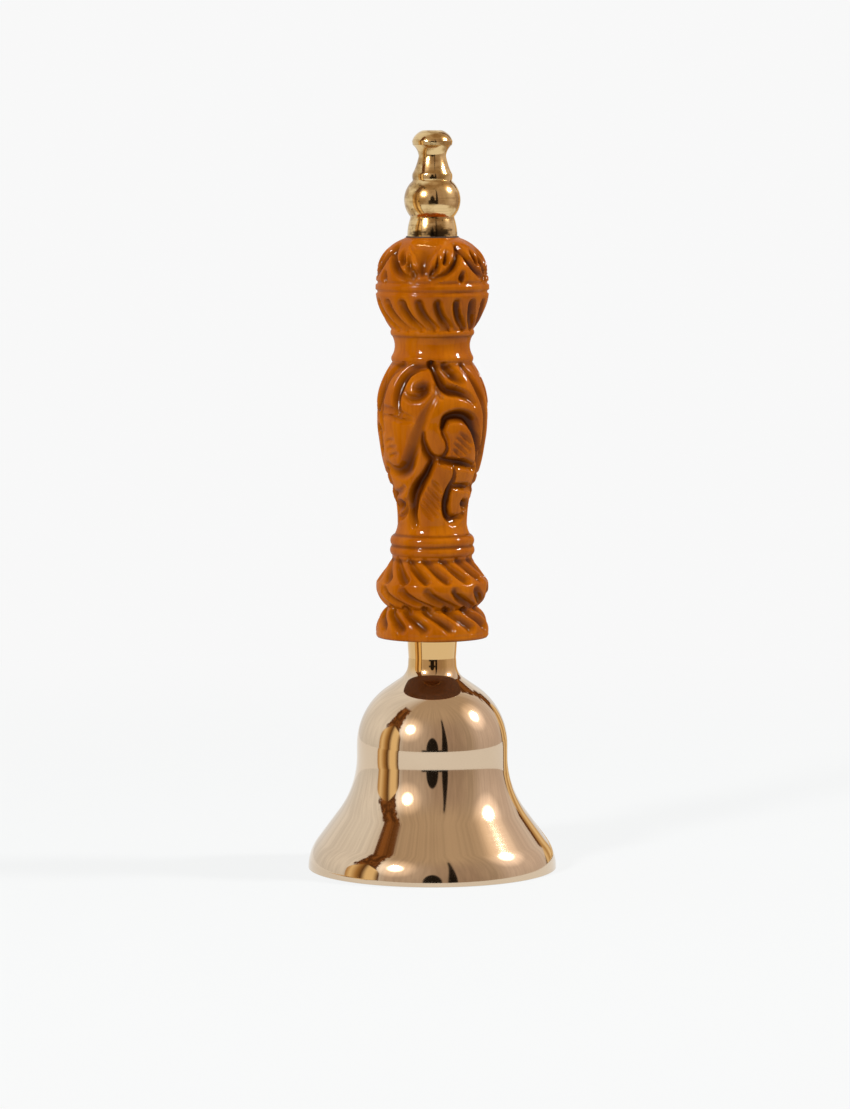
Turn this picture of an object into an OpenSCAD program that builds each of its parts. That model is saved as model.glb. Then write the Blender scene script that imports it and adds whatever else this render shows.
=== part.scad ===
// Hand bell for a reception desk or dining table.
// A turned brass bell hangs from a carved hardwood handle. One tie rod runs down the axis, from
// the finial through the handle and the bell's neck, and carries the clapper inside the bell.
// The bell stands on its rim at z = 0, and +Z points up the axis. Lengths are in millimetres.

/* [Bell] */
// Outside diameter at the mouth
mouth_d = 54.8; // [50:0.2:58]
// Outside diameter at the waist
waist_d = 33.3; // [32:0.1:34]
// Height of the shell, from the rim to where the neck begins
shell_h = 45.2; // [44:0.1:47]
// Wall thickness of the shell
wall_t = 2; // [1.6:0.1:2.2]
// Slope of the flare, measured from the axis
flare_a = 36.5; // [35:0.1:38]
// Slope of the shoulder, measured from the axis
shoulder_a = 55.5; // [53:0.5:57]
// Diameter of the neck where it leaves the shoulder
neck_d = 10.7; // [10:0.1:11.4]
// Visible length of the neck
neck_h = 6.1; // [5:0.1:8]

/* [Handle] */
// Largest diameter of the handle
handle_d = 25; // [22:0.5:28]
// Length of the handle
handle_h = 87.6; // [80:0.2:96]

/* [Finial] */
// Largest diameter of the finial
finial_d = 12.4; // [11:0.2:14]
// Height of the finial
finial_h = 23; // [21:0.2:26]

/* [Tie rod] */
// Thread diameter of the tie rod
rod_d = 4; // [3.5:0.1:4.2]
// Thread pitch of the tie rod
rod_pitch = 0.7; // [0.6:0.05:0.9]

/* [Clapper] */
// Diameter of the clapper ball
ball_d = 13; // [11:0.5:13.5]
// Height of the ball's centre above the rim
ball_z = 9.6; // [9.2:0.1:11]
// Thickness of the clapper's shank
shank_d = 1.4; // [1.2:0.1:1.6]

/* [Hidden] */
$fn = 96;

// Turn of each straight piece that an arc is drawn with
arc_step = 5;
// Room between a thread or spigot and its hole
fit_gap = 0.05;
// Room between the tie rod's plain middle and what it passes through
rod_gap = 0.15;
// Gap left where one ring hangs on the next
ring_gap = 0.05;
// Depth of a tapped hole past the end of the rod
tap_relief = 0.4;
// How far a cutter runs past the face that it opens
cut = 1;

// Bell
mouth_r = mouth_d / 2;
waist_r = waist_d / 2;
neck_r = neck_d / 2;
lip_z = 0.07;                // height of the widest point
lip_arc = 10.5;              // rounding of the flare into the lip
land_r = mouth_r - 0.12;     // outer edge of the flat that the bell stands on
waist_z = shell_h - 20.4;    // bottom of the upright waist
dome_z = shell_h - 17.9;     // top of the upright waist
crown_z = shell_h - 5.6;     // flat ceiling inside the shell
fillet = 3.8;                // rounding of the shoulder into the neck
neck_shape = [[-0.1, 0.25], [0.2, 1]];   // change of radius at a share of the neck's height
spigot_h = 3;                // length of neck that sits inside the handle
spigot_r = neck_r + 0.25;
rod_r = rod_d / 2;
bore_r = rod_r + rod_gap;

// A slope's unit normal, and the arcs that make each straight stretch a common tangent
flare_n = [cos(flare_a), sin(flare_a)];
shoulder_n = [cos(shoulder_a), sin(shoulder_a)];
lip_c = [mouth_r - lip_arc, lip_z];
flare_arc = (flare_n * [waist_r, waist_z] - flare_n * lip_c - lip_arc) / (1 - cos(flare_a));
flare_c = [waist_r + flare_arc, waist_z];
fillet_c = [neck_r + fillet, shell_h];
dome_arc = (shoulder_n * fillet_c - fillet - shoulder_n * [waist_r, dome_z]) / (1 - cos(shoulder_a));
dome_c = [waist_r - dome_arc, dome_z];

// Turned outlines, from the bottom up: [radius, height, bulge of the arc to the next point].
// A bulge is the tangent of a quarter of the arc's turn: above 0 swells out, below 0 hollows in.
handle_drawn = [12.5, 88];   // the radius and length that these stations are drawn at
handle_stations = [
    [12.1, 0, 0.3],          // foot
    [12.4, 0.9, 0.3],        // foot's rim
    [10, 6.7, 0.18],         // waist of the foot
    [12.45, 10.3, 0.06],     // shoulder of the foot
    [12.35, 12.3, 0.03],
    [9, 17.2, 0],
    [8.85, 17.5, 0],
    [8.85, 18.1, 0.38],      // lower ring
    [9, 20.2, 0],
    [9, 20.5, 0.44],         // upper ring
    [8.5, 22.7, 0],
    [8.25, 22.9, -0.12],
    [7.7, 25, -0.04],        // foot of the grip
    [9.5, 34, 0.07],
    [12.3, 48, 0.2],         // widest part of the grip
    [9.15, 60.3, 0],
    [8.8, 60.8, 0.3],        // collar's lower bead
    [8.85, 62.2, -0.27],     // collar's cove
    [8.8, 66.4, 0.4],        // collar's upper bead
    [9.05, 67.9, 0.175],     // underside of the bulb
    [12.5, 76.4, 0.02],      // band round the bulb
    [12.5, 79, 0.36],        // top of the bulb
    [6, 88, 0],
];
band_grooves = [76.2, 78.2]; // heights of the lines cut round the bulb, as drawn
groove_depth = 0.3;
groove_slope = 0.7;          // half a groove's width for each unit of its depth

finial_drawn = [6.2, 23.2];
finial_stations = [
    [5.5, 0, 0.08],          // foot
    [4.85, 4, 0],
    [4.85, 4.3, 0.4],        // ball
    [4.4, 12.1, 0],
    [4.3, 12.3, 0.12],       // ledge
    [4.35, 13.7, -0.08],     // taper
    [3, 17.6, -0.2],         // throat
    [4.3, 20, 0],
    [4.45, 20.8, 0.25],      // cap
    [2.1, 23.2, 0],
];

// Stack of parts along the axis, above the bell
handle_z = shell_h + neck_h;
recess_h = spigot_h + 1;     // holds the neck's spigot and its cushion washer
finial_washer_z = handle_z + handle_h;
finial_washer_t = 0.3;
finial_washer_r = finial_stations[0][0] / finial_drawn[0] * finial_d / 2 + 0.25;
finial_z = finial_washer_z + finial_washer_t;

// Stack of parts along the axis, under the crown
crown_washer_t = 0.8;
crown_washer_r = 5;
nut_h = 2.2;
nut_af = 7;                  // across the flats
nut_z = crown_z - crown_washer_t - nut_h;
boss_h = 3.2;
boss_r = 3.1;
boss_z = nut_z - boss_h;

// Tie rod
rod_bottom = boss_z + 0.8;
rod_top = finial_z + 12;
lower_thread_top = handle_z + 2;
upper_thread_bottom = finial_z - 3;
thread_depth = 0.3;

// Clapper: an eye, a link through it, and the shank's loop through the link
eye_wire = 0.6;
eye_r = 2;
eye_z = boss_z - 1.2;
link_wire = 0.5;
link_r = 2.4;
link_z = eye_z - eye_r + eye_wire + link_wire + ring_gap - link_r;
loop_wire = 0.55;
loop_r = 2;
loop_z = link_z - link_r + link_wire + loop_wire + ring_gap - loop_r;
shank_r = shank_d / 2;
ball_r = ball_d / 2;
rivet_r = 1.5;               // the shank's end, riveted over under the ball
rivet_h = 0.5;
rivet_z = ball_z - sqrt(ball_r * ball_r - rivet_r * rivet_r);

// Points of an arc from p to q, leaving q out
function arc_between(p, q, bulge) =
    bulge == 0 ? [p] :
    let (turn = 4 * atan(bulge),
         chord = q - p,
         centre = (p + q) / 2 + [-chord[1], chord[0]] * (1 - bulge * bulge) / (4 * bulge),
         steps = ceil(abs(turn) / arc_step),
         arm = p - centre)
    [for (i = [0 : steps - 1]) let (a = turn * i / steps)
        centre + [arm[0] * cos(a) - arm[1] * sin(a), arm[0] * sin(a) + arm[1] * cos(a)]];

// A turned outline at its real size, from stations drawn at another
function outline(stations, drawn, size) =
    let (k = [size[0] / drawn[0], size[1] / drawn[1]],
         last = stations[len(stations) - 1],
         place = function (s) [s[0] * k[0], s[1] * k[1]])
    [for (i = [0 : len(stations) - 2])
        each arc_between(place(stations[i]), place(stations[i + 1]), stations[i][2]),
     place(last)];

// Points of an arc about a centre, both ends included
function arc_about(centre, radius, a0, a1) =
    let (steps = ceil(abs(a1 - a0) / arc_step))
    [for (i = [0 : steps]) let (a = a0 + (a1 - a0) * i / steps)
        centre + radius * [cos(a), sin(a)]];

// The shell's wall from the lip up to the shoulder, set in from the outside by inset
function wall(inset) = concat(
    arc_about(lip_c, lip_arc - inset, 0, flare_a),
    arc_about(flare_c, flare_arc + inset, 180 + flare_a, 180),
    arc_about(dome_c, dome_arc - inset, 0, shoulder_a));

// The crests and roots of a thread's turns, drawn as rings
function thread(z, turns) =
    [for (i = [0 : turns - 1])
        each [[rod_r - thread_depth, z + i * rod_pitch], [rod_r, z + (i + 0.5) * rod_pitch]]];

function reversed(list) = [for (i = [len(list) - 1 : -1 : 0]) list[i]];

module revolve(points) {
    rotate_extrude() polygon(points);
}

// A hole down the axis, from z up, open at z
module axial_hole(radius, depth) {
    translate([0, 0, -cut]) cylinder(r = radius, h = depth + cut);
}

module washer(outer_r, inner_r, z, thickness) {
    translate([0, 0, z]) difference() {
        cylinder(r = outer_r, h = thickness);
        axial_hole(inner_r, thickness + cut);
    }
}

// A ring of round wire that stands upright, with its hole along Y
module wire_ring(radius, wire_r, z) {
    translate([0, 0, z]) rotate([90, 0, 0]) rotate_extrude() translate([radius, 0]) circle(r = wire_r);
}

module bell() {
    inner = [for (p = wall(wall_t)) if (p[1] < crown_z) p];
    last = inner[len(inner) - 1];
    ceiling_r = last[0] - (crown_z - last[1]) * tan(shoulder_a);
    color("#d9c39a") revolve(concat(
        [[mouth_r - wall_t, 0], [land_r, 0]],
        wall(0),
        arc_about(fillet_c, fillet, 180 + shoulder_a, 180),
        [for (s = neck_shape) [neck_r + s[0], shell_h + neck_h * s[1]]],
        [[spigot_r, handle_z], [spigot_r, handle_z + spigot_h], [bore_r, handle_z + spigot_h]],
        [[bore_r, crown_z], [ceiling_r, crown_z]],
        reversed(inner)));
}

module band_groove() {
    reach = 2 * groove_depth * groove_slope;
    edge_r = handle_d / 2 + groove_depth;
    revolve([[handle_d / 2 - groove_depth, 0], [edge_r, -reach], [edge_r, reach]]);
}

module handle() {
    shape = outline(handle_stations, handle_drawn, [handle_d / 2, handle_h]);
    color("#b8620e") translate([0, 0, handle_z]) difference() {
        revolve(concat([[0, 0]], shape, [[0, handle_h]]));
        axial_hole(bore_r + fit_gap, handle_h + cut);
        axial_hole(spigot_r + fit_gap, recess_h);
        for (h = band_grooves)
            translate([0, 0, h * handle_h / handle_drawn[1]]) band_groove();
    }
}

module finial() {
    shape = outline(finial_stations, finial_drawn, [finial_d / 2, finial_h]);
    color("#cda04c") translate([0, 0, finial_z]) difference() {
        revolve(concat([[0, 0]], shape, [[0, finial_h]]));
        axial_hole(rod_r + fit_gap, rod_top - finial_z + tap_relief);
    }
}

module finial_washer() {
    color("#2a1c12") washer(finial_washer_r, bore_r, finial_washer_z, finial_washer_t);
}

module neck_washer() {
    color("#6b4a2b") washer(spigot_r, bore_r, handle_z + spigot_h, recess_h - spigot_h);
}

// The rod is threaded at both ends, and plain where it passes through the handle
module tie_rod() {
    root_r = rod_r - thread_depth;
    lower_turns = floor((lower_thread_top - rod_bottom) / rod_pitch);
    upper_turns = floor((rod_top - upper_thread_bottom) / rod_pitch);
    lower_end = rod_bottom + lower_turns * rod_pitch;
    upper_end = rod_top - upper_turns * rod_pitch;
    color("#9a9a9a") revolve(concat(
        [[0, rod_bottom]],
        thread(rod_bottom, lower_turns),
        [[root_r, lower_end], [rod_r, lower_end + rod_pitch / 2], [rod_r, upper_end - rod_pitch / 2]],
        thread(upper_end, upper_turns),
        [[root_r, rod_top], [0, rod_top]]));
}

module crown_washer() {
    color("#b9b9b9") washer(crown_washer_r, bore_r, crown_z - crown_washer_t, crown_washer_t);
}

module crown_nut() {
    color("#b0b0b0") translate([0, 0, nut_z]) difference() {
        cylinder(r = nut_af / 2 / cos(30), h = nut_h, $fn = 6);
        axial_hole(rod_r + fit_gap, nut_h + cut);
    }
}

// A tapped boss on the end of the rod, with a ring below it that the clapper hangs from
module hanger_eye() {
    color("#c9a35a") difference() {
        union() {
            translate([0, 0, boss_z]) cylinder(r = boss_r, h = boss_h);
            wire_ring(eye_r, eye_wire, eye_z);
        }
        translate([0, 0, rod_bottom - tap_relief]) cylinder(r = rod_r + fit_gap, h = boss_h + cut);
    }
}

module clapper_link() {
    color("#a9a9a9") rotate([0, 0, 90]) wire_ring(link_r, link_wire, link_z);
}

// A wire loop, a straight shank through the ball, and a riveted end below it
module clapper_shank() {
    color("#a9a9a9") union() {
        wire_ring(loop_r, loop_wire, loop_z);
        translate([0, 0, rivet_z]) cylinder(r = shank_r, h = loop_z - loop_r - rivet_z);
        translate([0, 0, rivet_z - rivet_h]) cylinder(r = rivet_r, h = rivet_h);
    }
}

module clapper_ball() {
    seat_r = rivet_r + fit_gap;
    color("#c39a4a") difference() {
        translate([0, 0, ball_z]) sphere(r = ball_r);
        translate([0, 0, ball_z - ball_r]) axial_hole(shank_r + fit_gap, ball_d + cut);
        translate([0, 0, rivet_z - ball_r]) cylinder(r = seat_r, h = ball_r);
    }
}

bell();
handle();
finial();
finial_washer();
neck_washer();
tie_rod();
crown_washer();
crown_nut();
hanger_eye();
clapper_link();
clapper_shank();
clapper_ball();
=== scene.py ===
"""A hand bell: a polished brass bell on a carved, lacquered handle, with a brass finial.

Everything is in metres in the CAD frame: the bell stands on z = 0 and its axis is +Z.
Outlines and carving are given in millimetres, and MM turns them into metres.
"""

import math

import bpy
import numpy as np
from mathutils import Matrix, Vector


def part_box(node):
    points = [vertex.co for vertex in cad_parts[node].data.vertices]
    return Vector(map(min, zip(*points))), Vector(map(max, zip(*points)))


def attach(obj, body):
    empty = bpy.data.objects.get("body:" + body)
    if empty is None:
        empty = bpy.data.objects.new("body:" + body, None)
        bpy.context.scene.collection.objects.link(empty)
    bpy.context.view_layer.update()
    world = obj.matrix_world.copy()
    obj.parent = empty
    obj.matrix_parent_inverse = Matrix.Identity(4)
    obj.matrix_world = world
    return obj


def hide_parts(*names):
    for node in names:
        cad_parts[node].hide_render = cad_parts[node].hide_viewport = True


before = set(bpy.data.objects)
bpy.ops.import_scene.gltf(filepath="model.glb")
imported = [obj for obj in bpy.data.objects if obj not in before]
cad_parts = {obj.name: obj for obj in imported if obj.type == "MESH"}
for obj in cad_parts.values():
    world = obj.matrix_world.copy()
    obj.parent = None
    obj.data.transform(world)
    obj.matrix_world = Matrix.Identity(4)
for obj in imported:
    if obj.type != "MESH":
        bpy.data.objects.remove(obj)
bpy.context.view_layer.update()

MM = 0.001
SEED = 7
CROWN_DROP = 5.6    # the crown's underside is this far below the top of the shell, in mm
SHADE_UNDER_FOOT = 3.0    # the bare wood under the foot and in the bore is darkened with painted shade, as if carved this deep, in mm
# What is taken off the handle: shares of the cuts, of the same cuts blurred, and of a random waviness
CUT_SHARE, BLURRED_SHARE, WAVE_SHARE = 1.12, 0.38, 0.08
CREASE_WIDTH = 0.45    # a crease's stain and painted shade fade out over about this distance, in mm
# Creases between the turned rings, darkened with stain and painted shade: (height, as if carved this deep),
# in mm
STAINED_SHADED_CREASES = [(6.7, 0.3), (17.4, 0.7), (20.35, 0.8), (22.8, 0.7), (60.5, 0.6), (66.4, 0.5)]

# Turned outlines, from the bottom up: (radius, height, bulge of the arc to the next point), in mm.
# A bulge is the tangent of a quarter of the arc's turn: above 0 swells out, below 0 hollows in.
HANDLE_DRAWN = (12.5, 88)
HANDLE_STATIONS = [
    (12.1, 0, 0.3),
    (12.4, 0.9, 0.3),
    (10, 6.7, 0.18),
    (12.45, 10.3, 0.06),
    (12.35, 12.3, 0.03),
    (9, 17.2, 0),
    (8.85, 17.5, 0),
    (8.85, 18.1, 0.38),
    (9, 20.2, 0),
    (9, 20.5, 0.44),
    (8.5, 22.7, 0),
    (8.25, 22.9, -0.12),
    (7.7, 25, -0.04),
    (9.5, 34, 0.07),
    (12.3, 48, 0.2),
    (9.15, 60.3, 0),
    (8.8, 60.8, 0.3),
    (8.85, 62.2, -0.27),
    (8.8, 66.4, 0.4),
    (9.05, 67.9, 0.175),
    (12.5, 76.4, 0.02),
    (12.5, 79, 0.36),
    (6, 88, 0),
]
FINIAL_DRAWN = (6.2, 23.2)
FINIAL_STATIONS = [
    (5.5, 0, 0.08),
    (4.85, 4, 0),
    (4.85, 4.3, 0.4),
    (4.4, 12.1, 0),
    (4.3, 12.3, 0.12),
    (4.35, 13.7, -0.08),
    (3, 17.6, -0.2),
    (4.3, 20, 0),
    (4.45, 20.8, 0.25),
    (2.1, 23.2, 0),
]


# ---------------------------------------------------------------- outlines

def arc_between(start, end, bulge, turn_step, gap):
    """Points from start up to end, leaving the end out, along an arc of that bulge."""
    start, end = np.array(start, float), np.array(end, float)
    chord = end - start
    length = np.hypot(*chord)
    if bulge == 0:
        count = max(1, math.ceil(length / gap))
        return [start + chord * i / count for i in range(count)]
    turn = 4 * math.atan(bulge)
    middle = (start + end) / 2
    centre = middle + np.array([-chord[1], chord[0]]) * (1 - bulge**2) / (4 * bulge)
    arm = start - centre
    count = max(2, math.ceil(abs(math.degrees(turn)) / turn_step))
    count = max(count, math.ceil(abs(turn) * np.hypot(*arm) / gap))
    return [centre + turned(arm, turn * i / count) for i in range(count)]


def turned(arm, angle):
    c, s = math.cos(angle), math.sin(angle)
    return np.array([arm[0] * c - arm[1] * s, arm[0] * s + arm[1] * c])


def station_outline(stations, drawn, size, turn_step, gap):
    """A turned outline at its real size in mm, from stations drawn at another size."""
    scale = np.array(size) / np.array(drawn)
    points = []
    for here, following in zip(stations[:-1], stations[1:]):
        start, end = np.array(here[:2]) * scale, np.array(following[:2]) * scale
        points += arc_between(start, end, here[2], turn_step, gap)
    return points + [np.array(stations[-1][:2]) * scale]


def arc_about(centre, radius, first, last, turn_step=1.5):
    """Points of an arc about a centre, from one angle to another in degrees, both ends included."""
    count = max(1, math.ceil(abs(last - first) / turn_step))
    angles = [math.radians(first + (last - first) * i / count) for i in range(count + 1)]
    return [np.array(centre) + radius * np.array([math.cos(a), math.sin(a)]) for a in angles]


def filled(points, gap):
    """The same outline with its straight stretches split, so that no step is longer than gap."""
    out = []
    for start, end in zip(points[:-1], points[1:]):
        count = max(1, math.ceil(np.hypot(*(end - start)) / gap))
        out += [start + (end - start) * i / count for i in range(count)]
    return out + [points[-1]]


# ---------------------------------------------------------------- meshes

def grid_faces(rows, columns, closed):
    """Quads between neighbouring rings of points, which run anticlockwise seen from above."""
    bands = rows if closed else rows - 1
    i = np.arange(bands)[:, None]
    j = np.arange(columns)[None, :]
    low, high, right = i * columns, (i + 1) % rows * columns, (j + 1) % columns
    quads = np.stack([low + j, low + right, high + right, high + j], -1)
    return quads.reshape(-1, 4)


def make_object(name, vertices, faces, sharp=None):
    mesh = bpy.data.meshes.new(name)
    mesh.from_pydata(vertices.tolist(), [], faces)
    mesh.validate()
    mesh.shade_smooth()
    if sharp is not None:
        mesh.set_sharp_from_angle(angle=math.radians(sharp))
    piece = bpy.data.objects.new(name, mesh)
    bpy.context.scene.collection.objects.link(piece)
    return piece


def rings_of(outline, columns):
    """Rings of points about the axis, one for each outline point, as an array [row, column, xyz]."""
    outline = np.array(outline)
    angle = np.arange(columns) * 2 * math.pi / columns
    x = outline[:, :1] * np.sin(angle)
    y = -outline[:, :1] * np.cos(angle)
    z = np.repeat(outline[:, 1:], columns, 1)
    return np.stack([x, y, z], -1)


def lathe(name, outline, columns, sharp):
    """Turns an outline in metres about the axis. It is a closed loop, or starts and ends on the axis."""
    capped = outline[0][0] == 0
    rings = rings_of(outline[1:-1] if capped else outline, columns)
    rows = len(rings)
    vertices = rings.reshape(-1, 3)
    faces = grid_faces(rows, columns, not capped).tolist()
    if capped:
        poles = [[0, 0, outline[0][1]], [0, 0, outline[-1][1]]]
        first_pole, last_row = len(vertices), (rows - 1) * columns
        vertices = np.vstack([vertices, poles])
        for j in range(columns):
            k = (j + 1) % columns
            faces.append((first_pole, k, j))
            faces.append((first_pole + 1, last_row + j, last_row + k))
    return make_object(name, vertices, faces, sharp)


def set_attribute(piece, name, values):
    attribute = piece.data.attributes.new(name, "FLOAT", "POINT")
    attribute.data.foreach_set("value", np.ascontiguousarray(values, np.float32).ravel())


# ---------------------------------------------------------------- carving

def smooth_path(points, step=0.5):
    """A Catmull-Rom curve through points of (angle, height), as many short steps."""
    p = np.array(points, float)
    if len(p) == 2:
        return np.linspace(p[0], p[1], 6)
    p = np.vstack([2 * p[0] - p[1], p, 2 * p[-1] - p[-2]])
    out = []
    for a, b, c, d in zip(p[:-3], p[1:-2], p[2:-1], p[3:]):
        count = max(2, math.ceil(math.hypot((c - b)[0] * 0.18, (c - b)[1]) / step))
        for u in np.arange(count) / count:
            out.append(0.5 * (2 * b + (c - a) * u + (2 * a - 5 * b + 4 * c - d) * u**2
                              + (3 * b - a - 3 * c + d) * u**3))
    return np.array(out + [p[-2]])


class Relief:
    """Depth in mm of what is carved out of a turned surface, over its angle and height."""

    POWER = 6
    FALL = 1.1

    def __init__(self, outline, columns):
        self.outline = np.array(outline)
        steps = np.hypot(*np.diff(self.outline, axis=0).T)
        self.run = np.concatenate([[0], np.cumsum(steps)])
        self.angle = np.arange(columns) * 360 / columns
        self.per_degree = self.outline[:, :1] * math.radians(1)
        self.total = np.zeros((len(self.run), columns))

    def along(self, height):
        return np.interp(height, self.outline[:, 1], self.run)

    def cut(self, path, widths, depths):
        """A groove along a path, with half-widths and depths in mm spaced evenly along it."""
        points = smooth_path(path)
        share = np.linspace(0, 1, len(points))
        width = np.interp(share, np.linspace(0, 1, len(widths)), widths)
        depth = np.interp(share, np.linspace(0, 1, len(depths)), depths)
        run = self.along(points[:, 1])
        deepest = np.zeros_like(self.total)
        for i in range(len(points) - 1):
            self._segment(deepest, points[i:i + 2, 0], run[i:i + 2], width[i:i + 2], depth[i:i + 2])
        self.total += deepest**self.POWER

    def _segment(self, deepest, angle, run, width, depth):
        reach = width.max()
        rows = np.where((self.run > run.min() - reach) & (self.run < run.max() + reach))[0]
        if len(rows) == 0:
            return
        rows = slice(rows[0], rows[-1] + 1)
        scale = self.per_degree[rows]
        margin = reach / scale.min() + abs(angle[1] - angle[0])
        offset = (self.angle - angle[0] + 180) % 360 - 180
        columns = np.where(abs(offset) < margin)[0]
        if len(columns) == 0:
            return
        x, y = offset[columns] * scale, (self.run[rows] - run[0])[:, None]
        dx, dy = (angle[1] - angle[0]) * scale, run[1] - run[0]
        u = np.clip((x * dx + y * dy) / np.maximum(dx**2 + dy**2, 1e-9), 0, 1)
        near = np.hypot(x - u * dx, y - u * dy) / (width[0] + u * (width[1] - width[0]))
        found = (depth[0] + u * (depth[1] - depth[0])) * np.clip(1 - near**2, 0, 1)**self.FALL
        block = np.ix_(np.arange(rows.start, rows.stop), columns)
        deepest[block] = np.maximum(deepest[block], found)

    def blurred(self, values, size):
        """Values averaged over about size mm, by three passes of a running mean each way."""
        turn = np.median(self.per_degree) * 360 / values.shape[1]
        across = max(1, round(size / turn / 2))
        up = max(1, round(size / np.diff(self.run).mean() / 2))
        for _ in range(3):
            values = sum(np.roll(values, k, 1) for k in range(-across, across + 1)) / (2 * across + 1)
            padded = np.pad(values, ((up, up), (0, 0)), "edge")
            values = sum(padded[k:k + len(values)] for k in range(2 * up + 1)) / (2 * up + 1)
        return values

    def depth(self):
        return self.total**(1 / self.POWER)


def carve_foot(relief, rng):
    """Three rows of slanting flutes round the foot: above its rim, in its waist and on its shoulder."""
    for k in range(14):
        t = -8 + 360 / 14 * k + rng.uniform(-1, 1)
        path = [(t, 2.8), (t - 4, 3.6), (t - 13, 5.1), (t - 29, 6.9)]
        relief.cut(path, (1.55, 1.45, 1.25, 0.8), (1.0, 1.1, 1.0, 0.6))
    for k in range(13):
        t = -4 + 360 / 13 * k + rng.uniform(-1, 1)
        path = [(t, 10.8), (t + 5, 9.6), (t + 15, 8.3), (t + 31, 7.2)]
        relief.cut(path, (1.3, 1.35, 1.1, 0.7), (0.9, 1.0, 0.9, 0.5))
    for k in range(15):
        t = -8 + 24 * k + rng.uniform(-1, 1)
        path = [(t, 13.5), (t - 7, 14.6), (t - 17, 16.2), (t - 28, 17.5)]
        relief.cut(path, (1.35, 1.25, 1.0, 0.6), (0.95, 1.0, 0.85, 0.4))


def carve_bulb(relief, rng):
    """Slanting cuts under the bulb's band, and pairs of leaves with pits between them above it."""
    for k in range(18):
        t = 6 + 20 * k + rng.uniform(-0.8, 0.8)
        path = [(t, 73.7), (t + 2, 72), (t + 8, 70), (t + 19, 68.2)]
        relief.cut(path, (1.25, 1.25, 1.15, 0.8), (1.0, 1.1, 1.0, 0.6))
    for k in range(4):
        middle = -10 + 90 * k
        relief.cut([(middle, 80.4), (middle, 83), (middle, 86.8)], (0.9, 2.0, 3.6), (1.1, 0.8, 0.5))
        relief.cut([(middle + 43, 80.3), (middle + 42, 79.3)], (0.9, 1.3), (0.9, 1.1))
        for side in (-1, 1):
            carve_bulb_leaf(relief, middle, side)


def carve_bulb_leaf(relief, middle, side):
    """A leaf leaning away from the valley beside it: its two edges, and three cuts in its face."""
    outer = [(45, 86.6), (40, 84.6), (36, 83), (28, 81), (20, 79.8), (10, 79)]
    inner = [(4, 80.2), (5, 82.4), (10, 84.6), (20, 86.3)]
    relief.cut([(middle + side * t, h) for t, h in outer], (0.8, 1.2, 0.8), (0.9, 1.3, 0.7))
    relief.cut([(middle + side * t, h) for t, h in inner], (0.6, 0.7, 0.5), (0.7, 0.6, 0.3))
    for t, top, bottom in ((26, 85.4, 83), (16, 84.2, 81.2), (10.5, 82, 79.9)):
        line = [(t + 1, top), (t, (top + bottom) / 2), (t - 2, bottom)]
        relief.cut([(middle + side * a, h) for a, h in line], (0.45, 0.85, 1.0), (0.5, 1.1, 1.0))


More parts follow.
